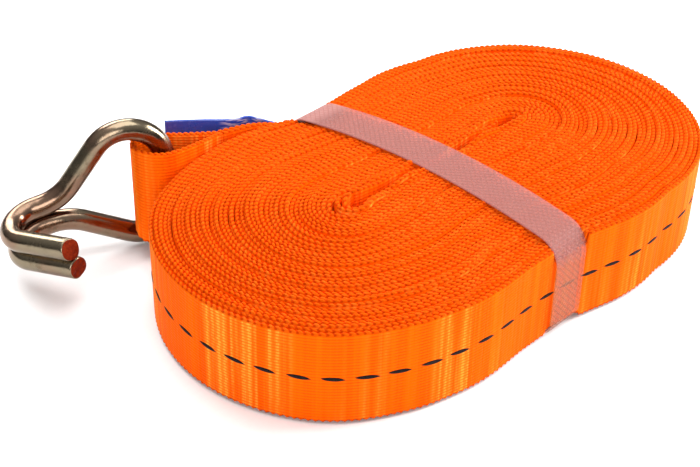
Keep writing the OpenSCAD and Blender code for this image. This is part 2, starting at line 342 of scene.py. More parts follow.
def rounding(depth, r):
    """How far a corner of radius r drops at that depth from its outer face."""
    return r - np.sqrt(np.maximum(r * r - (r - np.clip(depth, 0, r)) ** 2, 0))


def coil_strips():
    """The spiral as pieces of strip, its outer end's place and height, and its line for the
    tracer, as it would run if the strap didn't press it."""
    t, xy, thick, depth, reach = wound_webbing()
    # the free end, along the slit, before the first turn
    lead_in = np.linspace(HUB_RIGHT + [-1.5, 0.9], xy[0], 80)[:-1]
    xy = np.vstack([lead_in, xy])
    thick = np.concatenate([np.full(len(lead_in), 0.9), thick])
    depth = np.concatenate([np.full(len(lead_in), 40.0), depth])
    reach = np.concatenate([np.zeros(len(lead_in)), reach])
    t = np.concatenate([np.zeros(len(lead_in)), t])
    s = arc_length(xy)
    s, xy, thick, depth, reach, t = resample(s, STATION, xy, thick, depth, reach, t)
    xy[2:-2] = (xy[:-4] + xy[1:-3] + xy[2:-2] + xy[3:-1] + xy[4:]) / 5
    tangent = unit(np.gradient(xy, axis=0))
    normal = np.stack([tangent[:, 1], -tangent[:, 0], np.zeros(len(s))], 1)
    # each layer stands a little higher or lower than its neighbours
    lift = 0.20 * waves(s, 95, 7) + 0.14 * waves(s, 260, 5) + 0.05 * waves(s, 17, 5)
    by_turn = rng.normal(0, 0.14, TURNS + 3)
    by_turn[rng.choice(np.arange(4, TURNS - 2), 7, replace=False)] -= 0.6
    lift = lift + np.interp(t, np.arange(TURNS + 3), by_turn)
    lift = lift + np.exp(-(t / 2.8) ** 2) * (0.8 + 1.0 * waves(s, 22, 4))
    dome = DOME * (1 - np.clip(reach, 0, 1) ** 2)
    high = WEB_W - EDGE_INSET + lift
    low = EDGE_INSET + np.clip(lift, -0.28, 0.4) * 0.8
    # pressed flat right up to the strap's edge, and bent in with the strap at its corners
    pressed = strap_cover(xy[:, 0], xy[:, 1], -0.7, 0.7)
    cover = strap_cover(xy[:, 0], xy[:, 1], -0.3, 0.4)
    low_cap = 0.65 + rounding(depth + 0.6, STRAP_FOOT)
    level = (high + low) / 2 + dome
    high = high + (np.minimum(high, WEB_W - PRESSED) - high) * pressed + dome
    high = high - rounding(depth + 0.25, STRAP_BEND) * cover
    low = low + (np.maximum(low, low_cap) - low) * cover + dome
    lean = 0.012 * waves(s, 120, 5)
    across = unit(np.stack([normal[:, 0] * lean, normal[:, 1] * lean, np.ones(len(s))], 1))
    centre = np.stack([xy[:, 0], xy[:, 1], (high + low) / 2], 1)
    half = (high - low) / 2
    cuts = [t[0] - 1, *CUTS, t[-1] + 1]
    made = []
    for k in range(len(cuts) - 1):
        pick = np.flatnonzero((t >= cuts[k]) & (t < cuts[k + 1]))
        if k:
            pick = np.concatenate([[pick[0] - 1], pick])
        outermost = k == len(cuts) - 2
        name = "webbing_outer_turn" if outermost else f"webbing_wound_{k + 1}"
        obj = strip(name, s[pick], centre[pick], across[pick], normal[pick], half[pick],
                    thick[pick], int(outermost))
        made.append((obj, s[pick[-1]] - s[pick[0]]))
    end = dict(s=s[-1], at=centre[-1], half=half[-1])
    outer = dict(s=s, line=np.column_stack([xy, level]), normal=normal, thick=thick, t=t)
    return made, end, outer


# ---------------------------------------------------------------- sewn end, eye and label
def upright(xy, low, high):
    """The lower and the upper edge's places of a strip that stands upright at xy."""
    return (xy[0], xy[1], low, xy[0], xy[1], high)


def standing(rows, s0, name):
    """A strip along rows that give the lower and the upper edge's places."""
    rows = spline(np.asarray(rows, float))
    low, high = rows[:, :3], rows[:, 3:]
    s = arc_length((low + high) / 2)
    s, low, high = resample(s, STATION, low, high)
    centre = (low + high) / 2
    across = unit(high - low)
    half = np.linalg.norm(high - low, axis=1) / 2
    tangent = np.gradient(centre, axis=0)
    normal = unit(np.stack([tangent[:, 1], -tangent[:, 0], np.zeros(len(s))], 1))
    normal = unit(normal - across * (normal * across).sum(1, keepdims=True))
    thick = np.full(len(s), WEB_T)
    return strip(name, s + s0, centre, across, normal, half, thick, 2), s[-1]


SEAM_LO, SEAM_HI = cad_box_mm("webbing_lead")
SEAM_A = math.radians(165.7)
SEAM_DIR = np.array([math.cos(SEAM_A), math.sin(SEAM_A)])
SEAM_OUT = np.array([math.sin(SEAM_A), -math.cos(SEAM_A)])
SEAM_LEN = (SEAM_HI[0] - SEAM_LO[0] - CAD_T * abs(SEAM_OUT[0])) / abs(SEAM_DIR[0])
SEAM_START = np.array([SEAM_HI[0] - CAD_T / 2 * abs(SEAM_OUT[0]),
                       SEAM_LO[1] + CAD_T / 2 * abs(SEAM_OUT[1])])
SEAM_Z = (SEAM_LO[2], SEAM_HI[2])
TAIL_D = CAD_T        # the tail lies this far outside the lead


def seam_point(s, d=0.0):
    return SEAM_START + s * SEAM_DIR + d * SEAM_OUT


def sewn_end(end):
    """The lead, the tail sewn on it and the eye, which carry on from the coil's outer turn."""
    z0, z1 = SEAM_Z
    s_end = end["s"]
    a = end["at"]
    half = end["half"]
    lead_rows = [
        upright(a, a[2] - half, a[2] + half),
        upright(a + [-1.6, 0.1, 0], a[2] - half, z1 - 3.2),
        upright(seam_point(0) + [0.9, -0.35], z0 + 0.3, z1 - 3.0),
        upright(seam_point(2.2), z0, z1 - 2.5),
        upright(seam_point(5.0), z0, z1 - 1.5),
        upright(seam_point(10.0), z0, z1),
        upright(seam_point(SEAM_LEN), z0, z1),
    ]
    lead, lead_len = standing(lead_rows, s_end, "sewn_lead")
    eye, eye_len = standing(eye_rows(), s_end + lead_len, "webbing_loop")
    tail_rows = [upright(seam_point(s, TAIL_D), z0, z1 - drop)
                 for s, drop in ((SEAM_LEN, 0), (12.0, 0.2), (6.0, 1.3), (1.5, 2.6))]
    tail, tail_len = standing(tail_rows, s_end + lead_len + eye_len, "sewn_tail")
    return lead, lead_len, eye, eye_len, tail, tail_len


# The hook's own axes: U along its middle line towards the claw, W the way the claw turns.
HOOK_W = unit(np.cross(BAR_AXIS, [0, 0, 1]))
if HOOK_W[1] > 0:
    HOOK_W = -HOOK_W
HOOK_U = unit(np.cross(BAR_AXIS, HOOK_W))
if HOOK_U[0] > 0:
    HOOK_U = -HOOK_U


def eye_rows():
    """The loop round the cross-bar as its lower and upper edge's places, from the lead's end
    in front of the bar, round the fold and back behind it. The fold leans with the bar, and
    its lower edge passes in front of the hook's lower leg and over it."""
    z0, z1 = SEAM_Z
    offsets = [
        (11.2, -1.3, -19.7, 11.5, -1.9, 5.6),
        (6.9, -3.6, -18.8, 7.6, -2.8, 6.2),
        (2.3, -5.1, -18.1, 3.2, -3.5, 6.8),
        (-2.8, -5.4, -17.5, -2.0, -3.5, 7.3),
        (-7.6, -5.2, -16.5, -5.6, -1.9, 7.7),
        (-11.0, -3.6, -15.3, -7.8, 1.0, 8.1),
        (-10.9, -0.4, -14.0, -8.1, 3.8, 8.2),
        (-7.0, 3.6, -12.9, -6.2, 5.9, 8.3),
        (-3.0, 5.3, -13.4, -2.8, 6.2, 8.1),
        (1.6, 4.8, -14.8, 1.8, 4.8, 7.4),
        (6.2, 3.4, -16.8, 6.3, 3.3, 6.4),
        (10.2, 1.6, -18.6, 10.2, 1.7, 5.8),
    ]
    start, end = (
        [upright(seam_point(SEAM_LEN + more, d), z0, z1) for more in (0, 1.5)] for d in (0, TAIL_D))
    return [*start, *(tuple(np.tile(BAR, 2) + row) for row in offsets), *end[::-1]]


# ---------------------------------------------------------------- tracer yarn
def tracer(outer):
    """Black yarn that comes up on the outer face as a row of pointed dashes."""
    s, t = outer["s"], outer["t"]
    pick = np.flatnonzero(t >= OUTERMOST)
    s0, s1 = s[pick[0]], s[pick[-1]]
    verts, faces = [], []
    n, m = 13, 8
    up = np.array([0, 0, 1.0])
    for at in np.arange(s0 + 6, s1 - 9, DASH_PITCH):
        length = DASH_LEN + rng.uniform(-0.35, 0.35)
        x = np.linspace(-1, 1, n)
        pos = at + rng.uniform(-0.2, 0.2) + 0.5 * length * x
        c = np.stack([np.interp(pos, s, outer["line"][:, k]) for k in range(3)], 1)
        nor = unit(np.stack([np.interp(pos, s, outer["normal"][:, k]) for k in range(3)], 1))
        th = np.interp(pos, s, outer["thick"])
        # a lozenge with its points at opposite edges of the yarn's row
        wide = 0.52 * (1 - np.abs(x) ** 2.2) ** 0.9 + 0.015
        rise = -0.17 * x
        bulge = 0.13 * (1 - np.abs(x) ** 3) + 0.01
        base = len(verts)
        for k in range(n):
            for a in np.linspace(0, 2 * np.pi, m, endpoint=False):
                verts.append(c[k] + nor[k] * (0.5 * th[k] - 0.03 + bulge[k] * math.sin(a))
                             + up * (rise[k] + wide[k] * math.cos(a)))
        faces += [[base + i for i in f] for f in tube_faces(n, m)]
    return new_mesh("tracer_dashes", verts, outward(verts, faces))


# ---------------------------------------------------------------- plastic strap
def strap_band():
    """The strap's closed path round the coil's waist, in its own plane."""
    lo, hi = STRAP_LO, STRAP_HI
    y0, y1 = lo[1] + STRAP_T / 2 + 0.25, STRAP_BACK - STRAP_T / 2
    z0, z1 = lo[2] + STRAP_T / 2, hi[2] - STRAP_T / 2
    r, q = STRAP_BEND, STRAP_FOOT
    corners = ((y1 - r, z1 - r, r, 0), (y0 + r, z1 - r, r, 90),
               (y0 + q, z0 + q, q, 180), (y1 - q, z0 + q, q, 270))
    path = np.array([(cy + radius * math.cos(math.radians(a)), cz + radius * math.sin(math.radians(a)))
                     for cy, cz, radius, start in corners
                     for a in np.linspace(start, start + 90, 14)])
    path = np.vstack([path, path[:1]])
    s = arc_length(path)
    at = np.linspace(0, s[-1], int(s[-1] / 0.6), endpoint=False)
    path = np.stack([np.interp(at, s, path[:, k]) for k in range(2)], 1)
    # the upper run bows over the coil's dome
    y = np.clip((path[:, 0] - (y0 + y1) / 2) / ((y1 - y0) / 2), -1, 1)
    path[:, 1] += np.where(path[:, 1] > (z0 + z1) / 2, DOME * (1 - y ** 2), 0)
    return path, at


def strap_piece():
    """The strap as one closed band, thinner towards its two edges."""
    path, s = strap_band()
    tan = unit(np.roll(path, -1, 0) - np.roll(path, 1, 0))
    out = np.stack([tan[:, 1], -tan[:, 0]], 1)
    mid = path.mean(0)
    if ((path - mid) * out).sum() < 0:
        out = -out
    w = STRAP_W / 2
    flat = [-w + 0.5, *np.linspace(-w + 1.2, w - 1.2, 9), w - 0.5]
    prof = [(-w, 0.2), (-w + 0.12, 0.7), *((a, 1) for a in flat), (w - 0.12, 0.7), (w, 0.2)]
    prof = [(a, 0.5 * STRAP_T * o) for a, o in prof]
    prof += [(a, -o) for a, o in prof[::-1]]
    ca, sa = math.cos(STRAP_SKEW), math.sin(STRAP_SKEW)
    verts, uv = [], []
    for (y, z), (ny, nz), d in zip(path, out, s):
        for a, o in prof:
            yy, zz = y + ny * o, z + nz * o
            xx = STRAP_X + a
            verts.append((xx * ca - yy * sa, xx * sa + yy * ca, zz))
            uv.append((d, a))
    faces = outward(verts, tube_faces(len(path), len(prof), closed=True))
    return new_mesh("packing_strap", verts, faces, uv)


def strap_weld():
    """The strap's overlapping end on the back, pressed with a row of weld ridges."""
    lo, hi = cad_box_mm("strap_welded_end")
    ca, sa = math.cos(STRAP_SKEW), math.sin(STRAP_SKEW)
    w = STRAP_W / 2 - 0.15
    zs = np.linspace(lo[2], hi[2], 80)
    verts, uv = [], []
    across = np.linspace(-w, w, 9)
    prof = [(a, 1) for a in across] + [(a, 0) for a in across[::-1]]
    y_flat = STRAP_BACK * ca
    for z in zs:
        u = (z - lo[2]) / (hi[2] - lo[2])
        welded = 0.25 < u < 0.8
        ridge = 0.09 * math.cos(2 * math.pi * z / 1.3) if welded else 0.0
        press = 0.10 if welded else 0.0
        edge = smoothstep(min(u, 1 - u) / 0.03)
        for a, o in prof:
            yy = y_flat - 0.05 + o * (0.1 + edge * (STRAP_T - 0.12 - press + ridge))
            xx = STRAP_X + a
            verts.append((xx * ca - yy * sa, xx * sa + yy * ca, z))
            uv.append((z, a))
    faces = outward(verts, tube_faces(len(zs), len(prof)))
    return new_mesh("packing_strap_weld", verts, faces, uv)


# ---------------------------------------------------------------- stitches
def capsules(name, segments, d=0.55):
    """Rounded stitches from (start, end, outward) rows; their ends dip into the cloth."""
    verts, faces = [], []
    m = 8
    x = np.array([-1, -0.86, -0.6, -0.2, 0.2, 0.6, 0.86, 1])
    for a, b, out in segments:
        a, b, out = (np.asarray(q, float) for q in (a, b, out))
        axis = unit(b - a)
        side = np.cross(axis, out)
        base = len(verts)
        for q in x:
            c = (a + b) / 2 + (b - a) / 2 * q + out * (0.16 - 0.34 * abs(q) ** 3)
            rr = d / 2 * (1 - abs(q) ** 6 * 0.7)
            for h in np.linspace(0, 2 * np.pi, m, endpoint=False):
                verts.append(c + rr * (math.cos(h) * side + math.sin(h) * out))
        faces += [[base + i for i in f] for f in tube_faces(len(x), m)]
    return new_mesh(name, verts, outward(verts, faces))


def row_of_stitches(p, q, pitch=2.6, length=2.2):
    """Stitches on the seam's outer face from (s, z) to (s, z)."""
    p, q = np.array(p, float), np.array(q, float)
    run = np.linalg.norm(q - p)
    n = max(1, int(round(run / pitch)))
    out = np.append(SEAM_OUT, 0)
    rows = []
    for i in range(n):
        c = p + (q - p) * (i + 0.5) / n
        h = (q - p) / run * length / 2
        ends = []
        for e in (c - h, c + h):
            xy = seam_point(e[0], TAIL_D + WEB_T / 2)
            ends.append((xy[0], xy[1], e[1]))
        rows.append((ends[0], ends[1], out))
    return rows


def seam_stitches():
    """The box seam and the cross inside it."""
    z0, z1 = SEAM_Z[0] + 3.0, SEAM_Z[1] - 3.0
    s0, s1 = 7.5, SEAM_LEN - 1.8
    box = row_of_stitches((s0, z0), (s1, z0)) + row_of_stitches((s0, z1), (s1, z1))
    box += row_of_stitches((s0, z0 + 1), (s0, z1 - 1)) + row_of_stitches((s1, z0 + 1), (s1, z1 - 1))
    cross = []
    mid = np.array([(s0 + s1) / 2, (z0 + z1) / 2])
    for z in (z0 + 1.6, z1 - 1.6):
        for s in (s0 + 1.4, s1 - 1.4):
            far = np.array([s, z])
            cross += row_of_stitches(mid + (far - mid) * 0.12, far)
    return capsules("thread_box", box), capsules("thread_cross", cross)


# ---------------------------------------------------------------- label
def film(name, rows, thick, crease=None):
    """A thin upright film along rows of (x, y, lower edge, upper edge)."""
    rows = spline(np.asarray(rows, float)[:, [0, 1, 3, 2]])
    s = arc_length(rows[:, :3])
    s, rows = resample(s, 0.4, rows)
    tangent = unit(np.gradient(rows[:, :2], axis=0))
    normal = np.stack([tangent[:, 1], -tangent[:, 0], np.zeros(len(s))], 1)
    v = np.linspace(-1, 1, 45)
    high, low = rows[:, 2:3], rows[:, 3:4]
    z = (high + low) / 2 + (high - low) / 2 * v
    grid = np.concatenate([np.broadcast_to(rows[:, None, :2], (*z.shape, 2)), z[..., None]], 2)
    bump = np.zeros((len(s), len(v))) if crease is None else crease(s[:, None], v[None])
    sides = []
    for o in (0.5, -0.5):
        sides.append(grid + normal[:, None] * (bump + o * thick)[..., None])
    ring = np.concatenate([sides[0], sides[1][:, ::-1]], 1)
    n, m = ring.shape[:2]
    verts = ring.reshape(-1, 3)
    flat = np.concatenate([v, v[::-1]]) * 11
    uv = np.stack(np.broadcast_arrays(s[:, None], flat[None]), -1).reshape(-1, 2)
    return new_mesh(name, verts, outward(verts, tube_faces(n, m)), uv), s[-1]


def label_pieces():
    """The label's hem on the seam, its free flap with creases at the stitched end, and the
    thread through the hem. The flap follows the CAD label's own line."""
    lo, hi = cad_box_mm("label")
    z0, z1 = lo[2], hi[2]
    d = TAIL_D + WEB_T / 2 + 0.2
    hem_rows = [(*seam_point(s, d), z0, z1 - drop)
                for s, drop in ((1.6, 2.6), (3.0, 1.4), (4.4, 0.5), (5.7, 0))]
    hem = film("label_fold", hem_rows, 0.35)[0]
    a = seam_point(5.7, d)
    rows = [(a[0], a[1], z0, z1)]
    cad = NODES["label"].data
    co = np.array([v.co for v in cad.vertices]) / MM
    for x, rise in ((-21.0, 1.1), (-25.5, 0.5), (-31.0, 0.4), (lo[0] - 0.3, 0.6)):
        near = co[np.abs(co[:, 0] - max(x, lo[0] + 0.4)) < 1.6]
        rows.append((x, near[:, 1].mean(), z0, z1 + rise))

    def crease(s, v):
        fade = smoothstep(s / 3)
        fold = (0.9 * np.exp(-(((s - 4 - 2.2 * v) / 1.7) ** 2))
                + 0.6 * np.exp(-(((s - 8 + 3 * v) / 1.5) ** 2)))
        wave = 0.18 * np.sin(s * 0.55 + 1.4 * v) * np.exp(-(s / 9) ** 2)
        upper = 0.35 + 0.65 * smoothstep((v + 1) / 2)
        return fade * (0.55 * fold * upper + wave) * np.exp(-((s - 6) / 9) ** 2)

    flap, flap_len = film("label_flap_film", rows, 0.3, crease=crease)
    x, y = seam_point(3.6, d + 0.15)
    count = 7
    rows = []
    for i in range(count):
        z = z0 + 1.2 + (i + 0.5) * (z1 - z0 - 2.4) / count
        rows.append(((x, y, z - 1.1), (x, y, z + 1.1), np.append(SEAM_OUT, 0)))
    thread = capsules("label_thread", rows, 0.5)
    return hem, flap, flap_len, thread


# ---------------------------------------------------------------- hook
WIRE_R = 2.8
BAR_HALF = 15.5                 # half the cross-bar's length, to the legs' outer sides
SHOULDER_R = 9.3
LEG_SLOPE = math.radians(39.6)
NECK_R = 13.0
NECK_RUN = 1.8                  # straight, before the claw
CLAW_R = 7.0
CLAW_TURN = math.radians(136)
TIP_LEN = 15.0
WIRE_STEP = 0.5
WIRE_SIDES = 28
CHAMFER = 0.22                  # how much thinner the wire is at its sheared ends


def wire_path():
    """The wire's middle line along (U, the bar's axis, W), from one tip to the other: a
    cross-bar, two round shoulders, legs that close to a neck, and a claw."""
    side = WIRE_R + 0.05
    slope = np.array([math.sin(LEG_SLOPE), math.cos(LEG_SLOPE)])
    shoulder = np.array([SHOULDER_R, BAR_HALF - SHOULDER_R])
    top = shoulder + SHOULDER_R * slope
    length = (top[1] - side - NECK_R * (1 - math.cos(LEG_SLOPE))) / math.sin(LEG_SLOPE)
    low = top + length * np.array([math.cos(LEG_SLOPE), -math.sin(LEG_SLOPE)])
    neck = low + NECK_R * slope
    pts = [(0.0, y, 0.0) for y in np.linspace(0, shoulder[1], 6)[:-1]]
    for a in np.linspace(math.pi, math.pi / 2 - LEG_SLOPE, 26):
        pts.append((shoulder[0] + SHOULDER_R * math.cos(a), shoulder[1] + SHOULDER_R * math.sin(a), 0))
    for q in np.linspace(0, 1, 8)[1:-1]:
        pts.append((*(top + (low - top) * q), 0))
    for a in np.linspace(-math.pi / 2 - LEG_SLOPE, -math.pi / 2, 12):
        pts.append((neck[0] + NECK_R * math.cos(a), neck[1] + NECK_R * math.sin(a), 0))
    for a in np.linspace(0, CLAW_TURN, 26):
        pts.append((neck[0] + NECK_RUN + CLAW_R * math.sin(a), side, CLAW_R * (1 - math.cos(a))))
    end = np.array(pts[-1])
    heading = np.array([math.cos(CLAW_TURN), 0, math.sin(CLAW_TURN)])
    for q in np.linspace(0, TIP_LEN, 14)[1:]:
        pts.append(tuple(end + q * heading))
    half = np.array(pts)
    half = resample(arc_length(half), WIRE_STEP, half)[1]
    half[1:-1] = (half[:-2] + 2 * half[1:-1] + half[2:]) / 4
    return np.vstack([half[1:][::-1] * [1, -1, 1], half])


def hook_piece():
    """One bent wire, swept along its middle line, with sheared ends."""
    path = wire_path()
    world = BAR + path[:, :1] * HOOK_U + path[:, 1:2] * BAR_AXIS + path[:, 2:] * HOOK_W
    n, m = len(world), WIRE_SIDES
    tangent = unit(np.gradient(world, axis=0))
    # side vectors carried along the wire without twist
    normal = np.empty_like(world)
    normal[0] = unit(np.cross(tangent[0], HOOK_U))
    for i in range(1, n):
        normal[i] = unit(normal[i - 1] - tangent[i] * (normal[i - 1] @ tangent[i]))
    binormal = np.cross(tangent, normal)
    ring = np.linspace(0, 2 * np.pi, m, endpoint=False)
    radius = np.full(n, WIRE_R)
    from_end = np.minimum(np.arange(n), np.arange(n)[::-1]) * WIRE_STEP
    radius -= CHAMFER * np.maximum(1 - from_end / 0.6, 0)
    verts = (world[:, None] + radius[:, None, None] * (np.cos(ring)[None, :, None] * normal[:, None]
             + np.sin(ring)[None, :, None] * binormal[:, None]))
    # the sheared ends are a little slanted and torn
    ends = ((0, -1), (n - 1, 1))
    for e, sign in ends:
        slant = 0.5 * np.cos(ring - 0.8) + 0.12 * np.sin(3 * ring + 1)
        verts[e] += sign * tangent[e] * slant[:, None]
    verts = verts.reshape(-1, 3)
    faces = tube_faces(n, m)[:-2]
    drawn = len(faces)
    # end faces with rough inner rings
    for e, sign in ends:
        rings = [list(range(e * m, e * m + m))]
        spoke = np.cos(ring)[:, None] * normal[e] + np.sin(ring)[:, None] * binormal[e]
        for shrink in (0.75, 0.45, 0.15):
            slant = 0.5 * np.cos(ring - 0.8) * shrink + rng.uniform(-0.10, 0.10, m) - 0.12
            extra = world[e] + (WIRE_R - CHAMFER) * shrink * spoke
            extra = extra + sign * tangent[e] * slant[:, None]
            rings.append(list(range(len(verts), len(verts) + m)))
            verts = np.vstack([verts, extra])
        for a, b in zip(rings[:-1], rings[1:]):
            for k in range(m):
                l = (k + 1) % m
                quad = [a[k], a[l], b[l], b[k]]
                faces.append(quad if sign > 0 else quad[::-1])
        cap = rings[-1]
        faces.append(cap if sign > 0 else cap[::-1])
    hook = new_mesh("bent_wire_hook", verts, outward(verts, faces))
    hook.data.materials.append(zinc_material())
    hook.data.materials.append(sheared_material())
    hook.data.polygons.foreach_set("material_index", [int(i >= drawn) for i in range(len(faces))])
    return hook


# ---------------------------------------------------------------- materials
class Shader:
    """A material's node tree, with short calls for the nodes it uses."""

    def __init__(self, name):
        self.material = bpy.data.materials.new(name)
        self.material.use_nodes = True
        self.tree = self.material.node_tree
        self.bsdf = self.tree.nodes["Principled BSDF"]

    def put(self, socket, value):
        if isinstance(value, bpy.types.NodeSocket):
            self.tree.links.new(value, socket)
        elif isinstance(value, tuple) and len(value) == 3 and socket.type == "RGBA":
            socket.default_value = (*value, 1)
        else:
            socket.default_value = value

    def node(self, kind, inputs=(), **settings):
        n = self.tree.nodes.new(kind)
        for k, v in settings.items():
            setattr(n, k, v)
        for k, v in dict(inputs).items():
            self.put(n.inputs[k], v)
        return n

    def math(self, operation, a, b=0.0, c=0.0):
        return self.node("ShaderNodeMath", {0: a, 1: b, 2: c}, operation=operation).outputs[0]

    def uv(self):
        """The piece's own (along, across) in mm."""
        n = self.node("ShaderNodeUVMap", uv_map="Weave")
        parts = self.node("ShaderNodeSeparateXYZ", {0: n.outputs[0]})
        return parts.outputs[0], parts.outputs[1]

    def vector(self, x, y, z=0.0):
        return self.node("ShaderNodeCombineXYZ", {0: x, 1: y, 2: z}).outputs[0]

    def place(self):
        return self.node("ShaderNodeTexCoord").outputs["Object"]

    def noise(self, vector, scale, detail=2.0, roughness=0.5):
        return self.node("ShaderNodeTexNoise", {"Vector": vector, "Scale": scale, "Detail": detail,
                                                "Roughness": roughness}).outputs["Fac"]

    def woven_noise(self, along, along_scale, across, across_scale, detail, roughness=0.5):
        """Noise stretched differently along and across a strip."""
        at = self.vector(self.math("MULTIPLY", along, along_scale),
                         self.math("MULTIPLY", across, across_scale))
        return self.noise(at, 1.0, detail, roughness)

    def ramp(self, value, low, high, to_low=0.0, to_high=1.0):
        return self.node("ShaderNodeMapRange", {0: value, 1: low, 2: high, 3: to_low, 4: to_high},
                         interpolation_type="SMOOTHSTEP").outputs[0]

    def mix(self, factor, a, b, blend="MIX"):
        n = self.node("ShaderNodeMix", data_type="RGBA", blend_type=blend)
        self.put(n.inputs[0], factor)
        self.put(n.inputs[6], a)
        self.put(n.inputs[7], b)
        return n.outputs[2]

    def bump(self, height, distance_mm, strength=1.0, normal=None):
        n = self.node("ShaderNodeBump", {"Height": height, "Distance": distance_mm * MM,
                                         "Strength": strength})
        if normal is not None:
            self.put(n.inputs["Normal"], normal)
        return n.outputs[0]

    def surface(self, **values):
        for k, v in values.items():
            self.put(self.bsdf.inputs[k.replace("_", " ")], v)
        return self.material


def webbing_material():
    """Ribbed polyester webbing: warp ribs along it whose floats drift out of step from rib to
    rib, irregular cross bands with a painted golden highlight on some of them, and thread knobs
    along the selvedges. Painted shade darkens the rib valleys, the gaps between the knobs and the
    selvedges that form the coil's top."""
    m = Shader("orange_webbing")
    along, across = m.uv()
    scale = 2.0 / WEB_W
    rib = m.math("ADD", m.math("MULTIPLY", across, scale), RIB_EDGE - 1)
    rib = m.math("MULTIPLY", rib, RIBS / (2 * RIB_EDGE))
    index = m.math("FLOOR", rib)
    ridge = m.math("SINE", m.math("MULTIPLY", m.math("FRACT", rib), math.pi))
    wobble = m.woven_noise(along, 0.16, index, 3.7, 2.0)
    knob = m.math("MULTIPLY", along, 2 * math.pi / KNOB)
    floats = m.math("SINE", m.math("MULTIPLY_ADD", wobble, 5.0, knob))
    # irregular bands across the webbing, and a painted golden highlight on a few of them
    slow = m.woven_noise(along, 0.30, across, 0.006, 3.0, 0.6)
    band = m.ramp(slow, 0.36, 0.64)
    shifted = m.math("MULTIPLY_ADD", along, 0.055, GLINT_AT)
    painted_glint = m.noise(m.vector(shifted, m.math("MULTIPLY", across, 0.004)), 1.0, 1.0)
    painted_glint = m.math("MULTIPLY", m.ramp(painted_glint, 0.44, 0.58), m.ramp(slow, 0.42, 0.58))
    fine = m.woven_noise(along, 0.9, across, 0.05, 1.0)
    fibre = m.woven_noise(along, 2.2, across, 17.0, 2.0)
    from_middle = m.math("ABSOLUTE", m.math("SUBTRACT", m.math("MULTIPLY", across, scale), 1.0))
    selvedge = m.ramp(from_middle, 0.955, 0.975)
    knob_gap_shade = m.math("MULTIPLY", selvedge, m.ramp(m.math("COSINE", knob), 0.1, -0.9))
    thread = m.woven_noise(along, 5.0, across, 5.0, 2.0)
    face = m.math("ADD", m.math("MULTIPLY", ridge, 0.55),
                  m.math("MULTIPLY", m.math("MULTIPLY", ridge, floats), m.ramp(band, 0, 1, 0.22, 0.10)))
    face = m.math("ADD", face, m.math("MULTIPLY", fibre, 0.16))
    height = m.math("ADD", m.math("MULTIPLY", face, m.math("SUBTRACT", 1.0, selvedge)),
                    m.math("MULTIPLY", m.math("MULTIPLY", thread, selvedge), 0.5))
    wavy = m.bump(m.math("ADD", m.math("MULTIPLY", slow, 0.75), m.math("MULTIPLY", fine, 0.3)), 0.6)
    normal = m.bump(height, 0.14, 1.0, wavy)
    # darker in the rib valleys, lighter on the crowns: painted shade
    colour = m.mix(m.ramp(ridge, 0.0, 0.7), (0.80, 0.060, 0.0008), (0.96, 0.120, 0.0014))
    colour = m.mix(m.math("MULTIPLY", band, 0.6), colour, (1.0, 0.165, 0.002))
    # bright golden dashes on the floats of those bands: a painted highlight
    highlight_dash = m.math("MULTIPLY", ridge, m.ramp(floats, -0.6, 0.7, 0.35, 1.0))
    colour = m.mix(m.math("MULTIPLY", m.math("MULTIPLY", painted_glint, highlight_dash), 0.9), colour, (1.0, 0.44, 0.055))
    # the selvedges, which form the coil's top, are painted darker and redder: painted shade on the top
    colour = m.mix(m.math("MULTIPLY", selvedge, 0.9), colour, (0.62, 0.080, 0.0020))
    colour = m.mix(m.ramp(thread, 0.35, 0.7, 0.16, 0.0), colour, (0.60, 0.030, 0.0008))
    # darker between the selvedge knobs: painted shade
    colour = m.mix(m.math("MULTIPLY", knob_gap_shade, 0.75), colour, (0.44, 0.016, 0.0005))
    return m.surface(Base_Color=colour, Roughness=m.ramp(fibre, 0.3, 0.7, 0.42, 0.58),
                     Normal=normal, Metallic=0.22, Anisotropic=0.35,
                     Specular_IOR_Level=0.02, Specular_Tint=(1.0, 0.5, 0.1),
                     Sheen_Weight=0.05, Sheen_Roughness=0.35, Sheen_Tint=(1.0, 0.32, 0.02))


def yarn_material(name, colour, dark, roughness, specular=0.5):
    """A multifilament yarn or sewing thread."""
    m = Shader(name)
    p = m.place()
    strands = m.noise(p, 2600.0, 3.0)
    coarse = m.noise(p, 700.0, 2.0)
    return m.surface(Base_Color=m.mix(m.ramp(strands, 0.35, 0.65), dark, colour),
                     Roughness=m.ramp(coarse, 0.3, 0.7, roughness - 0.08, roughness + 0.1),
                     Normal=m.bump(strands, 0.12, 0.8), Specular_IOR_Level=specular)


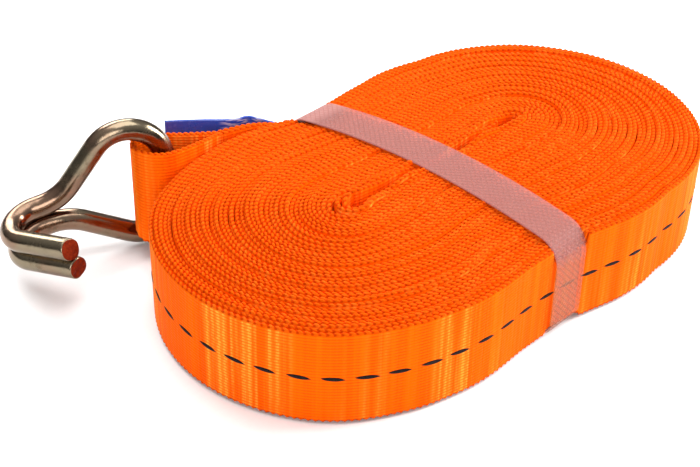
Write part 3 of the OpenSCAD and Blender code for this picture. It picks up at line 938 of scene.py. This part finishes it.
def strapping_material():
    """Translucent polypropylene strapping, embossed with small diamonds."""
    m = Shader("translucent_strapping")
    along, across = m.uv()
    a = m.math("ADD", m.math("MULTIPLY", along, 0.58), m.math("MULTIPLY", across, 0.62))
    b = m.math("SUBTRACT", m.math("MULTIPLY", along, 0.58), m.math("MULTIPLY", across, 0.62))
    pa = m.math("ABSOLUTE", m.math("SUBTRACT", m.math("FRACT", a), 0.5))
    pb = m.math("ABSOLUTE", m.math("SUBTRACT", m.math("FRACT", b), 0.5))
    lines = m.ramp(m.math("MAXIMUM", pa, pb), 0.28, 0.46)
    edge = m.ramp(m.math("ABSOLUTE", across), STRAP_W / 2 - 0.9, STRAP_W / 2 - 0.5)
    lines = m.math("MULTIPLY", lines, m.math("SUBTRACT", 1.0, edge))
    haze = m.noise(m.place(), 180.0, 3.0)
    # on the coil's wall the film is painted more orange and a little clearer, standing in for the lit
    # webbing seen through it: painted light; at the back of the coil's top it lets less through
    spot = m.node("ShaderNodeSeparateXYZ", {0: m.place()})
    top_run = m.ramp(spot.outputs[2], (WEB_W - 7) * MM, (WEB_W - 2) * MM)
    behind = m.ramp(spot.outputs[1], 31 * MM, 37 * MM)
    colour = m.mix(top_run, (0.60, 0.19, 0.085), (0.42, 0.18, 0.165))
    colour = m.mix(behind, colour, (0.43, 0.185, 0.168))
    colour = m.mix(m.math("MULTIPLY", lines, 0.8), colour, (0.28, 0.09, 0.072))
    colour = m.mix(m.math("MULTIPLY", haze, 0.3), colour, (0.45, 0.23, 0.20))
    cloudy = m.math("MULTIPLY_ADD", top_run, 0.07, m.math("MULTIPLY_ADD", behind, 0.40, 0.36))
    return m.surface(Base_Color=colour, Roughness=m.ramp(haze, 0.3, 0.7, 0.42, 0.55),
                     Alpha=m.math("ADD", cloudy, m.math("MULTIPLY", lines, 0.15)),
                     Specular_IOR_Level=0.16,
                     Normal=m.bump(m.math("SUBTRACT", 1.0, lines), 0.10, 0.8))


def label_material():
    """Glossy blue film, a little crinkled."""
    m = Shader("blue_label")
    p = m.place()
    soft = m.noise(p, 60.0, 3.0)
    crinkle = m.noise(p, 420.0, 3.0, 0.6)
    colour = m.mix(m.ramp(soft, 0.3, 0.7), (0.004, 0.066, 0.50), (0.014, 0.110, 0.66))
    # pale streaks painted along the creases by the stitched end's upper edge: a painted highlight
    along, across = m.uv()
    streak = m.woven_noise(along, 0.28, across, 1.3, 2.0)
    crease_highlight = m.math("MULTIPLY", m.ramp(streak, 0.46, 0.60), m.ramp(across, 6.0, 9.0))
    from_crease = m.math("ABSOLUTE", m.math("SUBTRACT", along, 7.0))
    crease_highlight = m.math("MULTIPLY", crease_highlight, m.ramp(from_crease, 3.5, 6.5, 0.75, 0.0))
    colour = m.mix(crease_highlight, colour, (0.50, 0.56, 0.80))
    return m.surface(Base_Color=colour, Roughness=m.ramp(crinkle, 0.3, 0.7, 0.16, 0.30),
                     Normal=m.bump(crinkle, 0.18, 0.35, m.bump(soft, 1.2, 0.5)),
                     Coat_Weight=0.4, Coat_Roughness=0.08)


def zinc_material():
    """Yellow-passivated zinc on drawn wire."""
    m = Shader("zinc_wire")
    p = m.place()
    cloud = m.noise(p, 90.0, 3.0)
    stain = m.noise(p, 260.0, 4.0, 0.6)
    grain = m.noise(p, 2200.0, 2.0)
    colour = m.mix(m.ramp(cloud, 0.35, 0.65), (0.235, 0.145, 0.100), (0.225, 0.183, 0.122))
    colour = m.mix(m.ramp(stain, 0.5, 0.8, 0.0, 0.6), colour, (0.12, 0.085, 0.050))
    return m.surface(Base_Color=colour, Metallic=1.0, Roughness=m.ramp(stain, 0.3, 0.75, 0.15, 0.30),
                     Normal=m.bump(grain, 0.05, 0.35, m.bump(stain, 0.14, 0.4)))


def sheared_material():
    """The wire's torn end faces, which are red-brown in the photo."""
    m = Shader("sheared_steel")
    tear = m.noise(m.place(), 900.0, 4.0, 0.7)
    colour = m.mix(m.ramp(tear, 0.35, 0.65), (0.13, 0.009, 0.0010), (0.21, 0.020, 0.0022))
    return m.surface(Base_Color=colour, Metallic=0.0, Specular_IOR_Level=0.08,
                     Roughness=m.ramp(tear, 0.3, 0.7, 0.5, 0.75), Normal=m.bump(tear, 0.5, 0.8))


def floor_material():
    m = Shader("pale_floor")
    grain = m.noise(m.place(), 900.0, 2.0)
    colour = m.mix(grain, (0.89, 0.89, 0.89), (0.93, 0.93, 0.93))
    return m.surface(Base_Color=colour, Roughness=0.85, Normal=m.bump(grain, 0.05, 0.2))


# ---------------------------------------------------------------- putting it together
def dress(obj, material, body):
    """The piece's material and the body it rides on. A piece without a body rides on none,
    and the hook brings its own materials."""
    if material:
        obj.data.materials.append(material)
    if body:
        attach(obj, body)


def build():
    webbing = webbing_material()
    tracer_yarn = yarn_material("black_tracer", (0.012, 0.007, 0.007), (0.003, 0.002, 0.002), 0.7, 0.15)
    thread = yarn_material("orange_thread", (0.95, 0.17, 0.008), (0.6, 0.05, 0.002), 0.5)
    strapping = strapping_material()
    blue = label_material()

    wound, end, outer = coil_strips()
    for obj, length in wound:
        dress(obj, webbing, "coil")
    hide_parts("webbing_coil")
    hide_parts("webbing_free_end")
    dashes = tracer(outer)
    dress(dashes, tracer_yarn, "coil")
    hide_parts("tracer_yarn")

    lead, lead_len, eye, eye_len, tail, tail_len = sewn_end(end)
    dress(lead, webbing, None)
    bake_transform(lead)
    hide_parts("webbing_lead")
    dress(eye, webbing, None)
    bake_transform(eye)
    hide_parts("webbing_eye")
    dress(tail, webbing, "sewn_end")
    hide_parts("webbing_tail")

    strap = strap_piece()
    dress(strap, strapping, "coil")
    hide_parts("plastic_strap")
    weld = strap_weld()
    dress(weld, strapping, "coil")
    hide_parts("strap_welded_end")

    box, cross = seam_stitches()
    for obj, node in ((box, "seam_box_stitches"), (cross, "seam_cross_stitches")):
        dress(obj, thread, "sewn_end")
        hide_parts(node)

    hem, flap, flap_len, label_thread = label_pieces()
    dress(hem, blue, "sewn_end")
    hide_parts("label_hem")
    dress(flap, blue, None)
    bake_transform(flap)
    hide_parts("label")
    dress(label_thread, thread, "sewn_end")
    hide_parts("label_stitches")

    hook = hook_piece()
    dress(hook, None, "hook")
    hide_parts("claw_hook")


def stage():
    """A pale floor just under the object."""
    me = bpy.data.meshes.new("floor")
    r = 3.0
    me.from_pydata([(-r, -r, 0), (r, -r, 0), (r, r, 0), (-r, r, 0)], [], [(0, 1, 2, 3)])
    floor = bpy.data.objects.new("floor", me)
    floor.location.z = -0.0004
    bpy.context.scene.collection.objects.link(floor)
    me.materials.append(floor_material())


def aim(obj, place, target):
    obj.location = place
    obj.rotation_euler = (Vector(target) - Vector(place)).to_track_quat("-Z", "Y").to_euler()


def softbox(name, place, size, watts):
    light = bpy.data.lights.new(name, "AREA")
    light.shape = "RECTANGLE"
    light.size, light.size_y = size
    light.energy = watts
    obj = bpy.data.objects.new(name, light)
    bpy.context.scene.collection.objects.link(obj)
    aim(obj, place, (0, 0, 0.01))


def light():
    """A grey sky that is bright overhead, and four softboxes."""
    world = bpy.data.worlds.new("studio")
    bpy.context.scene.world = world
    world.use_nodes = True
    tree = world.node_tree
    # bright overhead and dark round the horizon, so that the wire shows contrast
    place = tree.nodes.new("ShaderNodeTexCoord")
    parts = tree.nodes.new("ShaderNodeSeparateXYZ")
    ramp = tree.nodes.new("ShaderNodeMapRange")
    tree.links.new(place.outputs["Generated"], parts.inputs[0])
    tree.links.new(parts.outputs[2], ramp.inputs[0])
    for k, v in ((1, 0.15), (2, 0.85), (3, 0.10), (4, 0.62)):
        ramp.inputs[k].default_value = v
    tree.links.new(ramp.outputs[0], tree.nodes["Background"].inputs[1])
    tree.nodes["Background"].inputs[0].default_value = (1, 1, 1, 1)
    softbox("key_right", (0.80, -0.35, 0.42), (0.5, 0.6), 15)
    softbox("back", (0.25, 0.85, 0.65), (0.8, 0.4), 9)
    softbox("top", (0.0, 0.05, 0.95), (0.8, 0.8), 7.5)
    softbox("front_left", (-0.75, -0.70, 0.45), (0.5, 0.5), 5)


def camera():
    """The photograph's viewpoint: azimuth -43, elevation 35 degrees, rolled 1.4 degrees."""
    data = bpy.data.cameras.new("camera")
    data.sensor_width = 36
    data.lens = 77.14
    data.clip_end = 20
    cam = bpy.data.objects.new("camera", data)
    bpy.context.scene.collection.objects.link(cam)
    right = Vector((0.7380, -0.6745, 0.0198)).normalized()
    ahead = Vector((0.5635, 0.5998, -0.5682)).normalized()
    up = right.cross(ahead)
    axes = Matrix((right, up, -ahead)).transposed().to_4x4()
    place = Matrix.Translation((-0.23268, -0.21516, 0.22227))
    cam.matrix_world = place @ axes
    bpy.context.scene.camera = cam


bpy.context.scene.view_settings.view_transform = "Standard"
build()
stage()
light()
camera()
